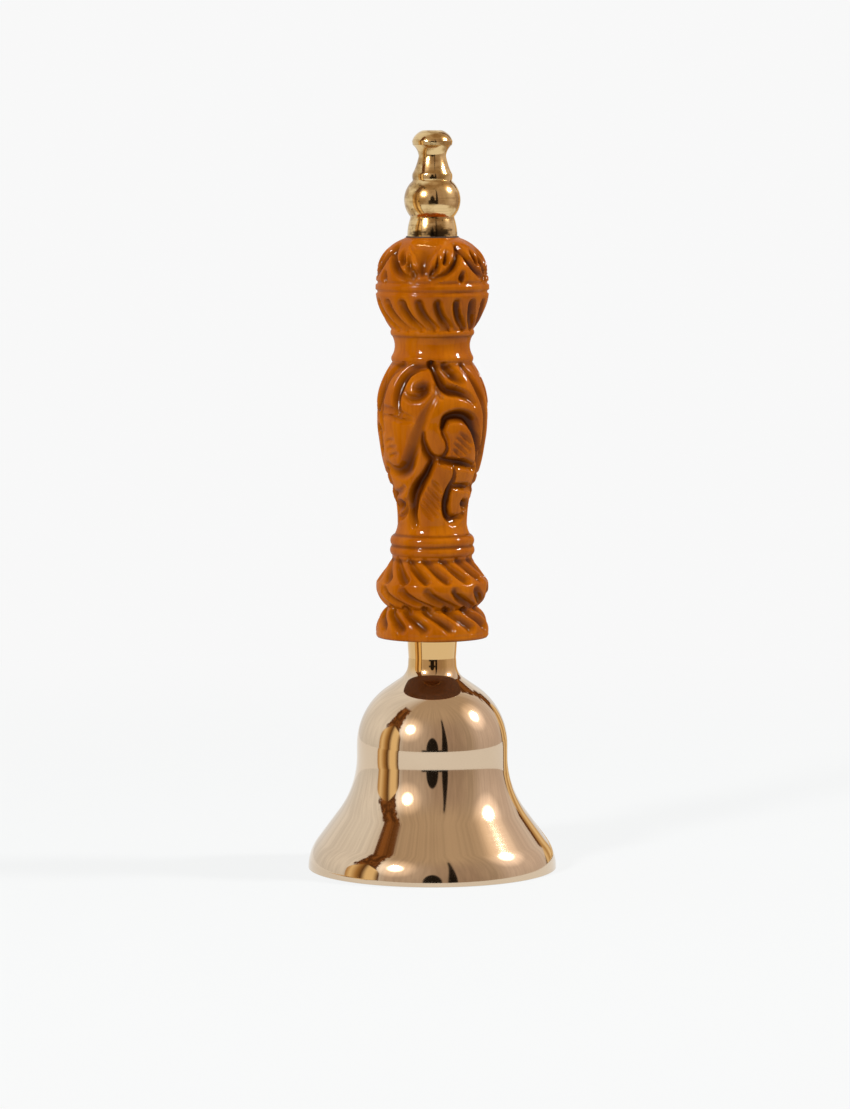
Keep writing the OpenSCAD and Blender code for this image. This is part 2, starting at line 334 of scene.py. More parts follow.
# The grip's carving covers half the turn and is repeated on the other half.
# Each cut is a path of (angle, height), half-widths and depths along it.
SCROLLS = [
    ([(-45, 60.2), (-56, 59.3), (-64, 57), (-67, 53), (-67, 49), (-64, 46)],
     (1.2, 1.7, 1.1), (0.5, 0.9, 0.5)),
    ([(-8, 60), (-20, 59.8), (-31, 58.8), (-37, 57), (-40, 54.5), (-40, 52), (-36, 50)],
     (0.7, 1.3, 1.6, 1.3, 1.0), (0.5, 1.0, 1.2, 1.1, 0.8)),
    ([(-60, 51), (-46, 50.6), (-33, 49.9), (-22, 49)], (0.9, 0.9, 0.7), (0.6, 0.7, 0.5)),
    ([(-60, 49.3), (-45, 48.9), (-33, 48.4), (-22, 48.3)], (0.6, 0.9, 0.7), (0.5, 0.7, 0.5)),
    ([(-16, 55.6), (-10, 55.9), (-7, 56.1)], (1.3, 1.7, 1.3), (1.1, 1.4, 1.1)),
    ([(-7, 55), (-13, 53.8), (-20, 53.4), (-28, 53.9), (-34, 55.4)], (1.3, 1.2, 0.7), (1.1, 1.0, 0.5)),
    ([(3, 53.8), (-3, 51.5), (-8, 49.3), (-12, 47.2), (-17, 44.7), (-21, 42.3),
      (-26, 40), (-31, 38.2), (-39, 37), (-48, 36.8), (-57, 37.2), (-64, 38)],
     (0.8, 1.4, 1.9, 2.1, 1.4), (0.5, 0.7, 0.8, 1.3, 0.7)),
    ([(2, 39.6), (-3, 38), (-8, 36.2), (-15, 34.6), (-22, 33), (-28, 31.4),
      (-32, 29.4), (-33, 27.2), (-29, 25.4)],
     (1.1, 1.4, 1.7, 1.7, 1.1), (1.2, 1.5, 1.6, 1.4, 0.8)),
    ([(-10, 45.6), (-10, 44), (-8, 42.6), (-5, 41.2), (0, 40.1)], (0.8, 1.1, 1.2), (1.0, 1.2, 1.3)),
    ([(-2, 40.4), (5, 40), (12, 40.3), (17, 42), (16, 44), (12, 45.6), (11, 47.2)],
     (1.1, 0.7, 0.8), (1.2, 0.7, 0.9)),
    ([(11, 47), (14, 48.7), (21, 49.3), (30, 49.4), (40, 48.8), (48, 47.4), (55, 45), (61, 42.3), (65, 39)],
     (1.1, 1.7, 1.7, 1.4, 1.0), (1.4, 1.7, 1.6, 1.3, 0.9)),
    ([(12, 39.6), (22, 39.2), (32, 38.9), (42, 38.6), (52, 38.1), (60, 37.6)],
     (1.2, 1.4, 1.1), (1.2, 1.4, 0.9)),
    ([(28, 37.6), (29.5, 36.2), (28, 34.8), (25, 33.4), (23, 31.8), (22, 30),
      (23, 28.4), (27, 27), (34, 26), (42, 25.8)],
     (0.6, 1.0, 1.5, 1.4, 0.9), (0.6, 1.0, 1.3, 1.3, 0.7)),
    ([(30, 33.8), (40, 33.6), (50, 33.5), (60, 33.2), (67, 32.8)], (0.9, 1.1, 0.8), (0.9, 1.2, 0.8)),
    ([(30, 27), (38, 26.4), (48, 26.6), (58, 27.4)], (1.0, 1.2, 0.8), (1.0, 1.2, 0.7)),
    ([(53, 30), (60, 29.4), (67, 29)], (1.1, 1.5, 1.1), (1.1, 1.4, 1.0)),
    ([(-2, 60.6), (3, 59.5), (8, 57.6), (13, 55.9), (20, 55.1), (28, 54.8), (36, 54.1), (43, 53.2), (48, 52)],
     (1.1, 1.5, 1.7, 1.3, 0.8), (1.0, 1.4, 1.5, 1.2, 0.6)),
    ([(4.5, 56.2), (5.5, 55), (9, 53.6)], (0.8, 0.9, 0.6), (0.8, 0.8, 0.5)),
    ([(17, 60), (24, 58.9), (30, 57.8), (36, 56.8)], (1.3, 1.9, 1.1), (0.9, 1.2, 0.7)),
    ([(44, 60.3), (50, 58.5), (56, 56), (62, 53), (67, 50.3), (70, 48.6)], (0.8, 1.3, 1.0), (0.6, 0.9, 0.6)),
    ([(-67, 28.6), (-60, 29.3), (-51, 29.7)], (1.0, 1.6, 1.0), (0.7, 1.2, 0.7)),
    ([(-76, 31.7), (-62, 32), (-50, 32.6), (-42, 33.4)], (0.7, 0.9, 0.7), (0.6, 0.8, 0.5)),
    ([(-66, 26.4), (-55, 27.1), (-47, 28.3), (-43, 30.4)], (0.7, 0.9, 0.7), (0.6, 0.8, 0.5)),
    ([(68, 50), (73, 46), (75, 41), (73, 36), (70, 33)], (1.0, 1.6, 1.0), (0.8, 1.2, 0.8)),
    ([(92, 58.6), (95, 55), (92, 50.6)], (0.6, 0.8, 0.6), (0.6, 0.8, 0.6)),
    ([(82, 59), (80, 55), (86, 50.4), (94, 48.6), (102, 50.6), (106, 55), (103, 59)],
     (1.0, 1.5, 1.0), (0.8, 1.2, 0.8)),
    ([(92, 43.8), (96, 46.4), (104, 46.4), (108, 43.8), (104, 41.2), (96, 41.2), (92, 43.8)],
     (1.0, 1.2, 1.0), (1.0, 1.2, 1.0)),
    ([(80, 40), (79, 35), (84, 30), (92, 27), (101, 28.6), (107, 32.5), (108, 37)],
     (0.9, 1.5, 0.9), (0.8, 1.3, 0.8)),
    ([(94, 38.4), (93, 33), (92, 29)], (0.5, 0.8, 0.5), (0.5, 0.8, 0.5)),
]
# Fans of short parallel cuts on the leaves, each from one point to another.
HATCHES = [
    [((30, 45.6), (47, 43)), ((27, 44.6), (46, 41.6)), ((25, 43.3), (41, 40.9)), ((24, 42), (34, 40.4))],
    [((0, 35.2), (14, 32.6)), ((-5, 33.5), (16, 29.8)), ((-9, 32.2), (13, 28.4)), ((-13, 31), (8, 27.4)),
     ((-18, 29.8), (0, 26.8))],
    [((-60, 43.3), (-46, 44.2)), ((-59, 41.7), (-44, 42.6)), ((-56, 40.2), (-42, 41))],
    [((82, 37.4), (90, 35.6)), ((82, 34.6), (90, 32.8)), ((97, 35.6), (105, 37)), ((96, 32.6), (103, 34))],
]


def carve_grip(relief):
    """Scrolls, leaves and hatching on the grip, twice round."""
    for half in (0, 180):
        for path, widths, depths in SCROLLS:
            relief.cut([(t + half, h) for t, h in path], widths, depths)
        for fan in HATCHES:
            for start, end in fan:
                path = [(start[0] + half, start[1]), (end[0] + half, end[1])]
                relief.cut(path, (0.35, 0.7, 0.65, 0.35), (0.25, 0.55, 0.5, 0.25))


def cut_band_grooves(relief):
    for height in (76.2, 78.2):
        distance = abs(relief.outline[:, 1] - height)[:, None]
        relief.total += (0.4 * np.clip(1 - (distance / 0.5)**2, 0, 1))**relief.POWER


# ---------------------------------------------------------------- pieces

def build_handle():
    """The handle, drilled through, with its carving cut into the turned form."""
    columns, gap, turn_step = 320, 0.36, 9
    low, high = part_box("handle")
    washer_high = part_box("neck_washer")[1]
    size = (high.x / MM, (high.z - low.z) / MM)
    outside = station_outline(HANDLE_STATIONS, HANDLE_DRAWN, size, turn_step, gap)
    scale = np.array(HANDLE_DRAWN) / np.array(size)
    relief = Relief(np.array(outside) * scale, columns)
    rng = np.random.default_rng(SEED)
    carve_foot(relief, rng)
    carve_grip(relief)
    carve_bulb(relief, rng)
    cut_band_grooves(relief)
    cut = relief.depth()
    spread = relief.blurred(cut, 2)
    waviness = relief.blurred(rng.random(cut.shape), 1.6)
    waviness = (waviness - waviness.min()) / np.ptp(waviness)
    depth = CUT_SHARE * cut + BLURRED_SHARE * spread + WAVE_SHARE * waviness
    depth[0] = 0
    depth[-1] = 0

    rings = rings_of(outside, columns)
    slope = np.gradient(np.array(outside), axis=0)
    normal = np.stack([slope[:, 1], -slope[:, 0]], 1) / np.hypot(*slope.T)[:, None]
    radial = rings[:, :, :2] / np.hypot(rings[:, :, 0], rings[:, :, 1])[:, :, None]
    rings[:, :, :2] -= radial * (depth * normal[:, :1])[:, :, None]
    rings[:, :, 2] -= depth * normal[:, 1:]

    recess_r = washer_high.x / MM + 0.05
    bore_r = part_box("tie_rod")[1].x / MM + 0.2
    recess_top = (washer_high.z - low.z) / MM
    inside = [(bore_r, size[1]), (bore_r, recess_top), (recess_r, recess_top), (recess_r, 0)]
    inside = rings_of(filled([np.array(p) for p in inside], 20), columns)
    vertices = np.vstack([rings.reshape(-1, 3), inside.reshape(-1, 3)]) * MM
    vertices[:, 2] += low.z
    rows = len(rings) + len(inside)
    piece = make_object("carved_handle", vertices, grid_faces(rows, columns, True).tolist(), 75)
    # Darkening for the wood's colour: stain in the cuts and creases, together with painted shade there
    stain_and_shade_depth = relief.blurred(cut, 0.6)
    for height, deep in STAINED_SHADED_CREASES:
        away = (relief.outline[:, 1] - height)[:, None]
        stain_and_shade_depth = stain_and_shade_depth + deep * np.exp(-(away / CREASE_WIDTH)**2)
    # The foot's underside and the bore get painted shade
    stain_and_shade_depth[0] = SHADE_UNDER_FOOT
    stain_and_shade = np.concatenate([stain_and_shade_depth.ravel(), np.full(len(inside) * columns, SHADE_UNDER_FOOT)])
    set_attribute(piece, "stain_and_shade", stain_and_shade)
    piece.data.materials.append(lacquered_wood())
    finish_piece(piece, "handle")


def build_bell():
    """The shell and neck in one piece: mirror polished outside, bored and duller inside."""
    columns = 256
    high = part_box("bell")[1]
    handle_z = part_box("handle")[0].z / MM
    crown_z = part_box("crown_washer")[1].z / MM
    washer_rim, waist_drop, dome_drop = 2.85, 20.4, 17.9
    bore_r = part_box("crown_washer")[0].x / -MM - washer_rim
    mouth_r, spigot_z = high.x / MM, high.z / MM
    waist_r, wall, neck_r = 16.65, 2, 5.35
    lip_arc, lip_z, fillet = 10.5, 0.07, 3.8
    flare, shoulder = 36.5, 55.5
    shell_h = crown_z + CROWN_DROP
    waist_z, dome_z = shell_h - waist_drop, shell_h - dome_drop
    flare_n = np.array([math.cos(math.radians(flare)), math.sin(math.radians(flare))])
    shoulder_n = np.array([math.cos(math.radians(shoulder)), math.sin(math.radians(shoulder))])
    lip_c = np.array([mouth_r - lip_arc, lip_z])
    flare_arc = (flare_n @ [waist_r, waist_z] - flare_n @ lip_c - lip_arc) / (1 - flare_n[0])
    fillet_c = np.array([neck_r + fillet, shell_h])
    dome_arc = (shoulder_n @ fillet_c - fillet - shoulder_n @ [waist_r, dome_z]) / (1 - shoulder_n[0])

    def side(inset):
        return (arc_about(lip_c, lip_arc - inset, 0, flare)
                + arc_about((waist_r + flare_arc, waist_z), flare_arc + inset, 180 + flare, 180)
                + arc_about((waist_r - dome_arc, dome_z), dome_arc - inset, 0, shoulder))

    inner = [p for p in side(wall) if p[1] < crown_z]
    last = inner[-1]
    ceiling_r = last[0] - (crown_z - last[1]) * math.tan(math.radians(shoulder))
    outside = side(0) + arc_about(fillet_c, fillet, 180 + shoulder, 180)
    outside += [np.array(p) for p in ((neck_r - 0.1, shell_h + 1.5), (neck_r + 0.2, handle_z))]
    spigot = [(neck_r + 0.25, handle_z), (neck_r + 0.25, spigot_z), (bore_r, spigot_z), (bore_r, crown_z)]
    land = [(mouth_r - wall, 0), (mouth_r - 0.12, 0)]
    loop = ([np.array(p) for p in land] + outside + [np.array(p) for p in spigot]
            + [np.array([ceiling_r, crown_z])] + inner[::-1])
    loop = np.array(filled(loop + [loop[0]], 0.6)[:-1]) * MM
    piece = lathe("bell_shell", loop, columns, 35)
    piece.data.materials.append(polished_brass())
    piece.data.materials.append(bored_brass())
    mark_inside(piece, wall * MM * 0.5, handle_z * MM)
    finish_piece(piece, "bell")


def mark_inside(piece, margin, neck_z):
    """Gives the second material to the faces below the neck that look towards the axis or down."""
    for face in piece.data.polygons:
        out = Vector((face.center.x, face.center.y, 0)).normalized()
        inward = face.normal.dot(out) < -0.05
        below_neck = face.center.z < neck_z - margin
        if below_neck and (inward or face.normal.z < -0.9):
            face.material_index = 1


def build_finial():
    """The turned finial, with its tapped hole underneath."""
    columns = 160
    low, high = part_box("finial")
    size = (high.x / MM, (high.z - low.z) / MM)
    outside = station_outline(FINIAL_STATIONS, FINIAL_DRAWN, size, 3, 0.25)
    hole_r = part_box("tie_rod")[1].x / MM + 0.05
    hole_top = (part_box("tie_rod")[1].z - low.z) / MM + 0.4
    loop = [np.array(p) for p in ((0, hole_top), (hole_r, hole_top), (hole_r, 0))]
    loop += outside + [np.array([0, size[1]])]
    loop = np.array(loop) * MM
    loop[:, 1] += low.z
    piece = lathe("turned_finial", loop, columns, 30)
    piece.data.materials.append(finial_brass())
    finish_piece(piece, "finial")


def finish_piece(piece, node):
    """Makes a piece ride on the body and stand in for a CAD node."""
    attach(piece, "bell_body")
    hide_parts(node)


# ---------------------------------------------------------------- shader nodes

def add(tree, kind, inputs, **settings):
    """A node with its settings, and with each input linked to a socket or set to a value."""
    made = tree.nodes.new("ShaderNode" + kind)
    for key, value in settings.items():
        setattr(made, key, value)
    for key, value in inputs.items():
        if isinstance(value, bpy.types.NodeSocket):
            tree.links.new(value, made.inputs[key])
        else:
            made.inputs[key].default_value = value
    return made


def calc(tree, operation, *values):
    return add(tree, "Math", dict(enumerate(values)), operation=operation).outputs[0]


def blend_range(tree, value, start, end, low=0.0, high=1.0):
    """A value that passes smoothly from low to high as another goes from start to end."""
    inputs = {0: value, 1: start, 2: end, 3: low, 4: high}
    return add(tree, "MapRange", inputs, interpolation_type="SMOOTHSTEP").outputs[0]


def mix(tree, share, first, second):
    """A colour between two others."""
    inputs = {0: share, 6: first, 7: second}
    return add(tree, "Mix", inputs, data_type="RGBA").outputs[2]


def rgba(r, g, b):
    return (r, g, b, 1.0)


def noise(tree, vector, scale, detail=3.0):
    inputs = {"Vector": vector, "Scale": scale, "Detail": detail, "Roughness": 0.5}
    return add(tree, "TexNoise", inputs).outputs[0]


def ramp(tree, value, stops):
    """A colour ramp with stops of (position, colour)."""
    made = add(tree, "ValToRGB", {0: value})
    elements = made.color_ramp.elements
    while len(elements) < len(stops):
        elements.new(0.5)
    for element, (position, colour) in zip(elements, stops):
        element.position = position
        element.color = colour
    return made.outputs[0]


def place(tree, scale=(1, 1, 1)):
    """Object coordinates, stretched."""
    where = add(tree, "TexCoord", {}).outputs["Object"]
    return add(tree, "Mapping", {"Vector": where, "Scale": scale}).outputs[0]


def new_material(name, **constants):
    """A material and its Principled shader, with the values that are the same all over set on it."""
    material = bpy.data.materials.new(name)
    material.use_nodes = True
    tree = material.node_tree
    shader = tree.nodes["Principled BSDF"]
    for key, value in constants.items():
        shader.inputs[key.replace("_", " ")].default_value = value
    return material, tree, shader


def bump(tree, shader, height, strength, distance):
    made = add(tree, "Bump", {"Height": height, "Strength": strength, "Distance": distance})
    tree.links.new(made.outputs[0], shader.inputs["Normal"])


# ---------------------------------------------------------------- materials

def polished_brass():
    """Pale mirror-polished brass, yellower on the neck: faint clouds, and very fine lines round the axis."""
    neck_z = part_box("crown_washer")[1].z + CROWN_DROP * MM
    material, tree, shader = new_material("polished_brass", Metallic=1.0)
    cloud = noise(tree, place(tree), 60)
    lines = noise(tree, place(tree, (30, 30, 4000)), 1.0, detail=2)
    colour = mix(tree, blend_range(tree, cloud, 0.35, 0.65), rgba(0.66, 0.51, 0.36), rgba(0.69, 0.54, 0.385))
    where = add(tree, "TexCoord", {}).outputs["Object"]
    height = add(tree, "SeparateXYZ", {0: where}).outputs[2]
    neck = blend_range(tree, height, neck_z - 0.003, neck_z)
    colour = mix(tree, neck, colour, rgba(0.71, 0.46, 0.2))
    tree.links.new(colour, shader.inputs["Base Color"])
    worn = calc(tree, "MULTIPLY_ADD", lines, 0.03, blend_range(tree, cloud, 0.3, 0.7, 0.035, 0.06))
    tree.links.new(worn, shader.inputs["Roughness"])
    bump(tree, shader, lines, 0.04, 0.00001)
    return material


def bored_brass():
    """The inside of the shell: lathe rings, duller and browner."""
    material, tree, shader = new_material("bored_brass", Metallic=1.0)
    rings = noise(tree, place(tree, (15, 15, 2400)), 1.0, detail=3)
    stain = noise(tree, place(tree), 90, detail=4)
    colour = mix(tree, blend_range(tree, stain, 0.35, 0.7), rgba(0.56, 0.42, 0.22), rgba(0.36, 0.25, 0.12))
    tree.links.new(colour, shader.inputs["Base Color"])
    tree.links.new(blend_range(tree, rings, 0.3, 0.7, 0.26, 0.42), shader.inputs["Roughness"])
    bump(tree, shader, rings, 0.5, 0.00008)
    return material


def finial_brass():
    """Yellower brass with a light patina, small pits, and grime near the foot."""
    material, tree, shader = new_material("finial_brass", Metallic=1.0)
    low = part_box("finial")[0]
    where = add(tree, "TexCoord", {}).outputs["Object"]
    height = add(tree, "SeparateXYZ", {0: where}).outputs[2]
    cloud = noise(tree, place(tree, (1, 1, 1.8)), 260, detail=4)
    marks = noise(tree, place(tree, (60, 60, 2600)), 1.0, detail=2)
    pits = noise(tree, place(tree), 1500, detail=2)
    patina = mix(tree, blend_range(tree, cloud, 0.4, 0.62), rgba(0.74, 0.53, 0.26), rgba(0.42, 0.25, 0.09))
    patina = mix(tree, blend_range(tree, marks, 0.5, 0.8, 0.0, 0.5), patina, rgba(0.3, 0.17, 0.06))
    speck = calc(tree, "MULTIPLY", blend_range(tree, pits, 0.62, 0.7), blend_range(tree, cloud, 0.5, 0.6))
    patina = mix(tree, speck, patina, rgba(0.05, 0.03, 0.015))
    near_foot = blend_range(tree, height, low.z + 0.0034, low.z + 0.0008)
    grime = calc(tree, "MULTIPLY", near_foot, blend_range(tree, cloud, 0.46, 0.6))
    colour = mix(tree, grime, patina, rgba(0.06, 0.04, 0.02))
    tree.links.new(colour, shader.inputs["Base Color"])
    tree.links.new(blend_range(tree, cloud, 0.3, 0.7, 0.08, 0.2), shader.inputs["Roughness"])
    bump(tree, shader, pits, 0.25, 0.00003)
    return material


def lacquered_wood():
    """Amber stain under a glossy coat: darker in the cuts and creases with stain and painted shade there, and
    painted shade under the foot.
    """
    material, tree, shader = new_material(
        "lacquered_wood", Specular_IOR_Level=0.0, Coat_Weight=0.26, Coat_Roughness=0.06, Coat_IOR=1.5)
    stain_and_shade = add(tree, "Attribute", {}, attribute_name="stain_and_shade").outputs["Fac"]
    cloud = noise(tree, place(tree, (1, 1, 0.5)), 130, detail=4)
    grain = noise(tree, place(tree, (1, 1, 0.08)), 1400, detail=3)
    tone = blend_range(tree, cloud, 0.35, 0.65)
    ridge = mix(tree, tone, rgba(0.25, 0.062, 0.0004), rgba(0.32, 0.09, 0.0008))
    ridge = mix(tree, blend_range(tree, grain, 0.45, 0.75, 0.0, 0.35), ridge, rgba(0.19, 0.044, 0.0003))
    # The cuts are darkened with stain, together with painted shade
    stained_and_shaded = mix(tree, blend_range(tree, stain_and_shade, 0.1, 1.2), ridge, rgba(0.06, 0.013, 0.0004))
    # Under the foot and in the bore, a dull dark brown: bare wood, darkened with painted shade
    stained_and_shaded = mix(tree, blend_range(tree, stain_and_shade, 2.2, 2.8), stained_and_shaded, rgba(0.13, 0.055, 0.025))
    tree.links.new(stained_and_shaded, shader.inputs["Base Color"])
    tree.links.new(blend_range(tree, cloud, 0.3, 0.7, 0.34, 0.46), shader.inputs["Roughness"])
    bump(tree, shader, noise(tree, place(tree), 700, detail=3), 0.12, 0.00006)
    return material


# Near-black fibre washers: under the finial the washer's dark line is painted shadow, standing in for the
# shade in the joint between finial and handle
def fibre_painted_shadow():
    material, tree, shader = new_material("fibre_painted_shadow")
    fibres = noise(tree, place(tree, (1, 1, 6)), 2500, detail=4)
    tone = blend_range(tree, fibres, 0.35, 0.65)
    colour = mix(tree, tone, rgba(0.02, 0.012, 0.008), rgba(0.05, 0.03, 0.018))
    tree.links.new(colour, shader.inputs["Base Color"])
    tree.links.new(blend_range(tree, fibres, 0.3, 0.7, 0.55, 0.8), shader.inputs["Roughness"])
    bump(tree, shader, fibres, 0.4, 0.00005)
    return material


def plated_steel():
    """Zinc plate, with faint drawing marks."""
    material, tree, shader = new_material("plated_steel", Metallic=1.0)
    marks = noise(tree, place(tree, (1, 1, 0.1)), 3000, detail=2)
    cloud = noise(tree, place(tree), 400)
    colour = mix(tree, blend_range(tree, cloud, 0.35, 0.65), rgba(0.5, 0.5, 0.5), rgba(0.64, 0.63, 0.61))
    tree.links.new(colour, shader.inputs["Base Color"])
    tree.links.new(blend_range(tree, marks, 0.3, 0.7, 0.22, 0.36), shader.inputs["Roughness"])
    bump(tree, shader, marks, 0.2, 0.00002)
    return material


def turned_brass():
    """Clapper brass: turning marks round the axis and a dull patina."""
    material, tree, shader = new_material("turned_brass", Metallic=1.0)
    rings = noise(tree, place(tree, (20, 20, 3500)), 1.0, detail=2)
    stain = noise(tree, place(tree), 240, detail=4)
    colour = mix(tree, blend_range(tree, stain, 0.35, 0.7), rgba(0.66, 0.48, 0.22), rgba(0.42, 0.28, 0.11))
    tree.links.new(colour, shader.inputs["Base Color"])
    tree.links.new(blend_range(tree, rings, 0.3, 0.7, 0.2, 0.34), shader.inputs["Roughness"])
    bump(tree, shader, rings, 0.3, 0.00005)
    return material


def paint_cad_nodes():
    """Finishes for the CAD nodes that stay as they are."""
    steel, brass, shadow_fibre = plated_steel(), turned_brass(), fibre_painted_shadow()
    chosen = {
        "finial_washer": shadow_fibre, "neck_washer": shadow_fibre, "tie_rod": steel, "crown_washer": steel,
        "crown_nut": steel, "hanger_eye": brass, "clapper_link": steel, "clapper_shank": steel,
        "clapper_ball": brass,
    }
    for name, material in chosen.items():
        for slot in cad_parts[name].material_slots:
            slot.material = material


# ---------------------------------------------------------------- studio

WHITE = 0.94
SWEEP = (0.92, 0.92, 0.91, 1.0)
# Walls round the bell: (azimuth in degrees, colour). Azimuth 0 is the camera's side, and 90 is the right.
WALLS = [
    (-180, SWEEP), (-60, SWEEP), (-44, (0.66, 0.55, 0.46, 1.0)), (-15, (0.62, 0.51, 0.42, 1.0)),
    (5, (0.47, 0.355, 0.27, 1.0)), (40, (0.47, 0.355, 0.27, 1.0)), (62, (0.54, 0.43, 0.33, 1.0)),
    (80, (0.76, 0.64, 0.57, 1.0)),
    (125, (0.76, 0.64, 0.57, 1.0)), (165, SWEEP), (180, SWEEP),
]
CEILING = (0.57, 0.44, 0.31, 1.0)
CEILINGS = [(-180, SWEEP), (-100, SWEEP), (-55, CEILING), (120, CEILING), (165, SWEEP), (180, SWEEP)]
# Two gold cards with brown wood above them, one at each side: the neighbours that the brass mirrors
GOLD, DEEP_GOLD = (1.0, 0.74, 0.38, 1.0), (0.5, 0.27, 0.08, 1.0)
BROWN, LIT_BROWN = (0.11, 0.04, 0.01, 1.0), (0.3, 0.115, 0.028, 1.0)
CARDS = [
    (-89, DEEP_GOLD), (-83, GOLD), (-76, DEEP_GOLD), (-70, BROWN), (-65, GOLD), (-57, GOLD), (-52, BROWN),
    (135, BROWN), (139, GOLD), (146, DEEP_GOLD), (152, GOLD), (160, DEEP_GOLD),
]
# Each card's middle and half-width in degrees, and the elevation where its gold ends and its wood starts
CARD_SPANS = [(-70, 19, 29), (147, 13, 16)]
WOOD_TOP, WOOD_BEHIND = 58, 8    # the wood's top, and how far it reaches down behind the gold, in degrees
# The gold's sides close in over so many degrees below its top, by this share of its half-width
GOLD_TAPER, GOLD_CLOSED = 21, 0.9
CARD_SOFT = 0.8    # a card's sides fade out over this much each way, in degrees
CARD_FROM, CARD_FULL = 0.06, 0.064    # on the floor, the cards begin and are full this far out, in m
# Lamps: (name, azimuth, elevation, degrees across, brightness)
LAMPS = [("light_left", -38, 30, 9, 150), ("light_right", 90, 37, 9, 150)]
LAMPS_ROUND = Vector((0, 0, 0.03))    # the lamps stand round this point, in m
# The glow round a lamp's middle: (degrees where it begins, degrees where it is full, brightness)
GLOWS = [(22, 6, 0.9), (9, 4, 5)]
CEILING_FROM, CEILING_FULL = 26, 58    # the walls turn into the ceiling between these elevations
LOW_DIM = 0.88    # the room's brightness near its floor, against 1 higher up
DARKEST = 0.04    # what is left of the room's brightness in the gap and in the shape in front
# The dark gap between two walls, in degrees: azimuth, half-width low down and high up, where its top fades
GAP_AT, GAP_LOW, GAP_HIGH, GAP_FADE = 19.0, 4.6, 1.5, (52, 44)
# The shape in front, in degrees: half-width, top, and the half-width of its base
OPERATOR_HALF, OPERATOR_TOP, OPERATOR_BASE = 9.0, 19.0, 16
FLOOR_R, FLOOR_DROP = 0.42, 0.0001    # the floor's radius, and how far it lies below the rim, in m
FLOOR_SIDES = 96
FLOOR_GLOW = (0.79, 0.805, 0.81, 1.0)
FLOOR_BLACK = 0.91    # the share of black in the floor's matt part, which keeps shadows on it faint
CAMERA_AT = (-0.0016, -0.966, 0.162)
CAMERA_TARGET = Vector((-0.0016, 0, 0.06936))
CAMERA_LENS, CAMERA_SENSOR = 143.3, 36    # in mm


def build_world():
    """A white sweep on the left and behind and a beige room on the right, but plain white seen directly."""
    world = bpy.data.worlds.new("studio")
    bpy.context.scene.world = world
    world.use_nodes = True
    tree = world.node_tree
    tree.nodes.clear()
    out = add(tree, "OutputWorld", {})
    direction = add(tree, "TexCoord", {}).outputs["Generated"]
    x, y, z = add(tree, "SeparateXYZ", {0: direction}).outputs
    azimuth = azimuth_of(tree, x, y)
    elevation = calc(tree, "DEGREES", calc(tree, "ARCSINE", z))

    walls, ceiling = by_azimuth(tree, azimuth, WALLS), by_azimuth(tree, azimuth, CEILINGS)
    room = mix(tree, blend_range(tree, elevation, CEILING_FROM, CEILING_FULL), walls, ceiling)
    low_dim = blend_range(tree, elevation, -6, 20, LOW_DIM, 1.0)
    shapes = calc(tree, "MAXIMUM", streak(tree, azimuth, elevation), operator(tree, azimuth, elevation))
    clear = calc(tree, "SUBTRACT", 1.0, shapes)
    across = add(tree, "CombineXYZ", {0: azimuth, 1: calc(tree, "MULTIPLY", elevation, 0.08)}).outputs[0]
    folds = blend_range(tree, noise(tree, across, 0.35, detail=2), 0.3, 0.7, 0.9, 1.08)
    level = calc(tree, "MULTIPLY", low_dim, calc(tree, "MULTIPLY_ADD", clear, 1 - DARKEST, DARKEST))
    level = calc(tree, "MULTIPLY", level, folds)
    room = add(tree, "VectorMath", {0: room, 3: level}, operation="SCALE").outputs[0]
    room = with_cards(tree, azimuth, elevation, room)
    glow = [halo(tree, direction, *lamp[1:3]) for lamp in LAMPS]
    level = calc(tree, "ADD", 1.0, calc(tree, "ADD", *glow))
    seen = add(tree, "Background", {0: room, 1: level})
    plain = add(tree, "Background", {0: rgba(WHITE, WHITE, WHITE), 1: 1.0})
    direct = add(tree, "LightPath", {}).outputs["Is Camera Ray"]
    chosen = add(tree, "MixShader", {0: direct, 1: seen.outputs[0], 2: plain.outputs[0]})
    tree.links.new(chosen.outputs[0], out.inputs[0])


def with_cards(tree, azimuth, elevation, room):
    """The room with the two cards before it: each is gold with a rounded top, and ragged wood above."""
    uneven = noise(tree, add(tree, "CombineXYZ", {0: azimuth, 1: elevation}).outputs[0], 0.16, detail=3)
    wood = mix(tree, blend_range(tree, uneven, 0.4, 0.65), BROWN, LIT_BROWN)
    ragged = blend_range(tree, uneven, 0.3, 0.7, 3, 10)
    gold = by_azimuth(tree, azimuth, CARDS)
    for middle, half, split in CARD_SPANS:
        bottom = split - WOOD_BEHIND
        upright = band_mask(tree, elevation, (WOOD_TOP + bottom) / 2, (WOOD_TOP - bottom) / 2, 1.5)
        share = calc(tree, "MULTIPLY", upright, card_mask(tree, azimuth, middle, half, ragged))
        room = mix(tree, share, room, wood)
        curve = calc(tree, "POWER", blend_range(tree, elevation, split - GOLD_TAPER, split), 2.0)
        flat = calc(tree, "SQRT", calc(tree, "SUBTRACT", 1.0, curve))
        rounded = calc(tree, "MULTIPLY_ADD", flat, -half * GOLD_CLOSED, half * GOLD_CLOSED)
        upright = blend_range(tree, elevation, split + 1, split - 1)
        share = calc(tree, "MULTIPLY", upright, card_mask(tree, azimuth, middle, half, rounded))
        room = mix(tree, share, room, gold)
    return room


def azimuth_of(tree, x, y):
    """The azimuth in degrees of a direction or place, with 0 on the camera's side and 90 on the right."""
    return calc(tree, "DEGREES", calc(tree, "ARCTAN2", x, calc(tree, "MULTIPLY", y, -1.0)))


